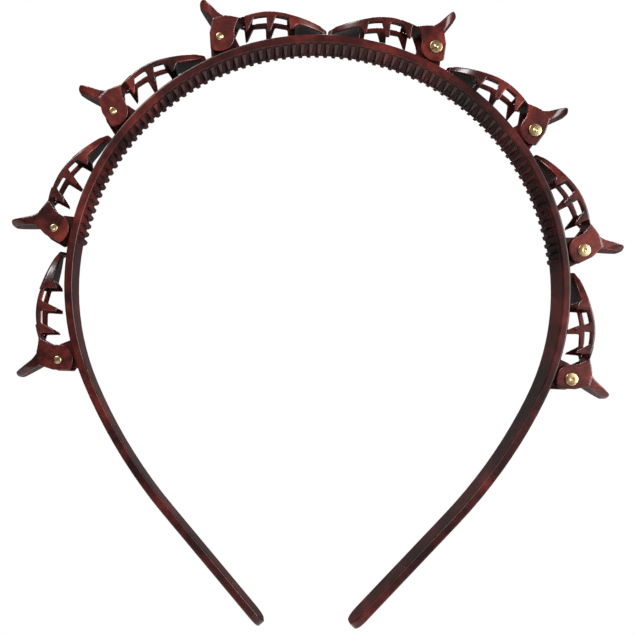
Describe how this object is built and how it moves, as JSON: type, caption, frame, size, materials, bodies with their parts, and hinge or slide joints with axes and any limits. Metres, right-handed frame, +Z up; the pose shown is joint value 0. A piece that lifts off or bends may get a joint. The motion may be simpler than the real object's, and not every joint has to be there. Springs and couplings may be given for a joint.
{
  "type": "headband",
  "caption": "Flexible plastic hair band with comb ridges inside and sprung claw clips riveted along its outer face.",
  "frame": {"origin": "centre of the crown arc, at the middle of the band's width: the middle of the wearer's head", "axes": "+Z up through the top of the crown, X from side to side, +Y across the band's width (front to back when worn)"},
  "size_m": [0.1522, 0.011, 0.1541],
  "materials": {
    "tortoiseshell_band": "polished translucent tortoiseshell",
    "tortoiseshell_clip": "polished translucent tortoiseshell",
    "brass": "bright",
    "spring_steel": "drawn wire"
  },
  "bodies": {
    "headband": {"band": "tortoiseshell_band", "spring_left_1": "spring_steel", "spring_left_2": "spring_steel", "spring_left_3": "spring_steel", "spring_left_4": "spring_steel", "spring_right_1": "spring_steel", "spring_right_2": "spring_steel", "spring_right_3": "spring_steel", "spring_right_4": "spring_steel"},
    "clip_left_1": {"jaw_left_1": "tortoiseshell_clip", "rivet_left_1": "brass"},
    "clip_left_2": {"jaw_left_2": "tortoiseshell_clip", "rivet_left_2": "brass"},
    "clip_left_3": {"jaw_left_3": "tortoiseshell_clip", "rivet_left_3": "brass"},
    "clip_left_4": {"jaw_left_4": "tortoiseshell_clip", "rivet_left_4": "brass"},
    "clip_right_1": {"jaw_right_1": "tortoiseshell_clip", "rivet_right_1": "brass"},
    "clip_right_2": {"jaw_right_2": "tortoiseshell_clip", "rivet_right_2": "brass"},
    "clip_right_3": {"jaw_right_3": "tortoiseshell_clip", "rivet_right_3": "brass"},
    "clip_right_4": {"jaw_right_4": "tortoiseshell_clip", "rivet_right_4": "brass"}
  },
  "joints": [
    {"name": "clip_hinge_left_1", "type": "hinge", "parent": "headband", "child": "clip_left_1", "pos_m": [-0.02686, 0, 0.06061], "axis": [0, -1, 0], "range_deg": [0, 40], "stiffness_Nm_per_rad": 0.004, "springref_deg": -40.11, "deforming": ["spring_left_1"]},
    {"name": "clip_hinge_left_2", "type": "hinge", "parent": "headband", "child": "clip_left_2", "pos_m": [-0.05225, 0, 0.04081], "axis": [0, -1, 0], "range_deg": [0, 40], "stiffness_Nm_per_rad": 0.004, "springref_deg": -40.11, "deforming": ["spring_left_2"]},
    {"name": "clip_hinge_left_3", "type": "hinge", "parent": "headband", "child": "clip_left_3", "pos_m": [-0.06531, 0, 0.01139], "axis": [0, -1, 0], "range_deg": [0, 40], "stiffness_Nm_per_rad": 0.004, "springref_deg": -40.11, "deforming": ["spring_left_3"]},
    {"name": "clip_hinge_left_4", "type": "hinge", "parent": "headband", "child": "clip_left_4", "pos_m": [-0.06298, 0, -0.02072], "axis": [0, -1, 0], "range_deg": [0, 40], "stiffness_Nm_per_rad": 0.004, "springref_deg": -40.11, "deforming": ["spring_left_4"]},
    {"name": "clip_hinge_right_1", "type": "hinge", "parent": "headband", "child": "clip_right_1", "pos_m": [0.02686, 0, 0.06061], "axis": [0, 1, 0], "range_deg": [0, 40], "stiffness_Nm_per_rad": 0.004, "springref_deg": -40.11, "deforming": ["spring_right_1"]},
    {"name": "clip_hinge_right_2", "type": "hinge", "parent": "headband", "child": "clip_right_2", "pos_m": [0.05225, 0, 0.04081], "axis": [0, 1, 0], "range_deg": [0, 40], "stiffness_Nm_per_rad": 0.004, "springref_deg": -40.11, "deforming": ["spring_right_2"]},
    {"name": "clip_hinge_right_3", "type": "hinge", "parent": "headband", "child": "clip_right_3", "pos_m": [0.06531, 0, 0.01139], "axis": [0, 1, 0], "range_deg": [0, 40], "stiffness_Nm_per_rad": 0.004, "springref_deg": -40.11, "deforming": ["spring_right_3"]},
    {"name": "clip_hinge_right_4", "type": "hinge", "parent": "headband", "child": "clip_right_4", "pos_m": [0.06298, 0, -0.02072], "axis": [0, 1, 0], "range_deg": [0, 40], "stiffness_Nm_per_rad": 0.004, "springref_deg": -40.11, "deforming": ["spring_right_4"]}
  ]
}
